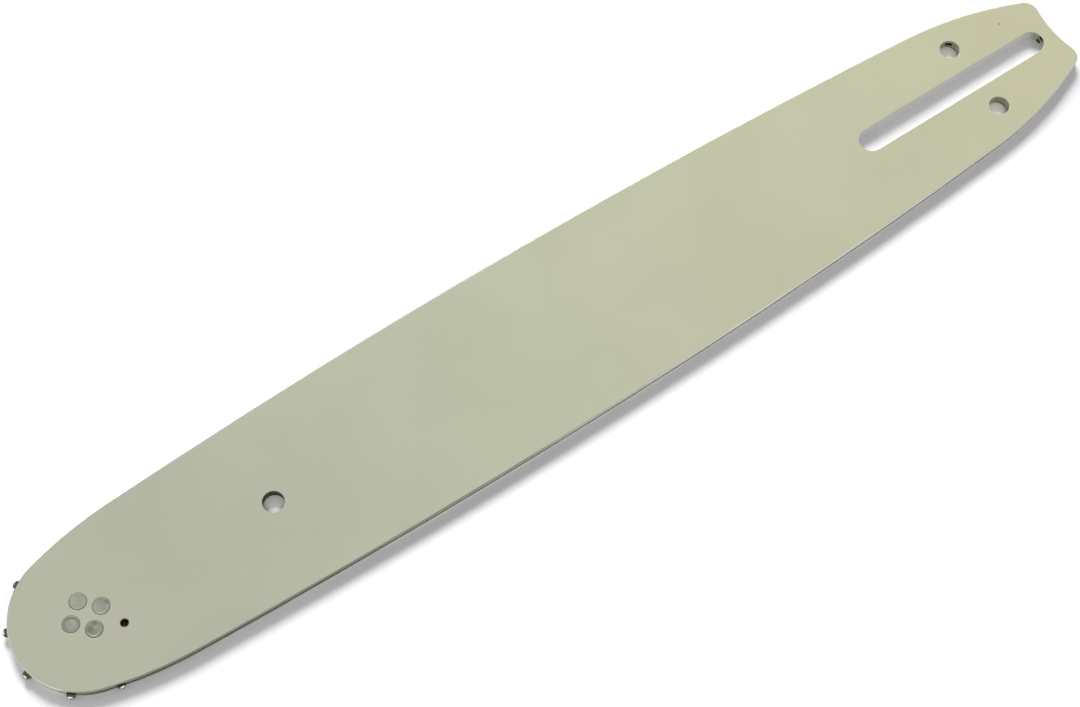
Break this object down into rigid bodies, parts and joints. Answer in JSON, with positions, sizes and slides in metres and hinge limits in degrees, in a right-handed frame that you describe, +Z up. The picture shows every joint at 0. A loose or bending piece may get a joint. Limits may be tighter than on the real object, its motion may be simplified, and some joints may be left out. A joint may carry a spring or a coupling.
{
  "type": "chainsaw guide bar",
  "caption": "Flat laminated chainsaw guide bar with a chain groove round its rails, a stud slot and tensioner holes at the tail, and a turning sprocket in the nose.",
  "frame": {"origin": "middle of the stud slot, on the underside of the lower side plate", "axes": "+X along the bar towards the nose, +Z up through its thickness"},
  "size_m": [0.3942, 0.0612, 0.0039],
  "materials": {
    "cream_paint": "satin",
    "core_steel": "matte",
    "sprocket_steel": "satin",
    "bearing_steel": "polished",
    "rivet_steel": "satin"
  },
  "bodies": {
    "bar": {"upper_side_plate": "cream_paint", "lower_side_plate": "cream_paint", "core_plate": "core_steel", "bearing_race": "bearing_steel", "nose_rivets": "rivet_steel"},
    "sprocket": {"nose_sprocket": "sprocket_steel"},
    "rollers": {"bearing_roller_01": "bearing_steel", "bearing_roller_02": "bearing_steel", "bearing_roller_03": "bearing_steel", "bearing_roller_04": "bearing_steel", "bearing_roller_05": "bearing_steel", "bearing_roller_06": "bearing_steel", "bearing_roller_07": "bearing_steel", "bearing_roller_08": "bearing_steel", "bearing_roller_09": "bearing_steel", "bearing_roller_10": "bearing_steel", "bearing_roller_11": "bearing_steel", "bearing_roller_12": "bearing_steel", "bearing_roller_13": "bearing_steel", "bearing_roller_14": "bearing_steel", "bearing_roller_15": "bearing_steel", "bearing_roller_16": "bearing_steel", "bearing_roller_17": "bearing_steel", "bearing_roller_18": "bearing_steel"}
  },
  "joints": [
    {"name": "sprocket_spin", "type": "hinge", "parent": "bar", "child": "sprocket", "pos_m": [0.32551, 0, 0.00195], "axis": [0, 0, 1], "continuous": true},
    {"name": "roller_orbit", "type": "hinge", "parent": "bar", "child": "rollers", "pos_m": [0.32551, 0, 0.00195], "axis": [0, 0, 1], "continuous": true}
  ],
  "couplings": [
    {"joint": "roller_orbit", "follows": "sprocket_spin", "ratio": 0.58652}
  ]
}
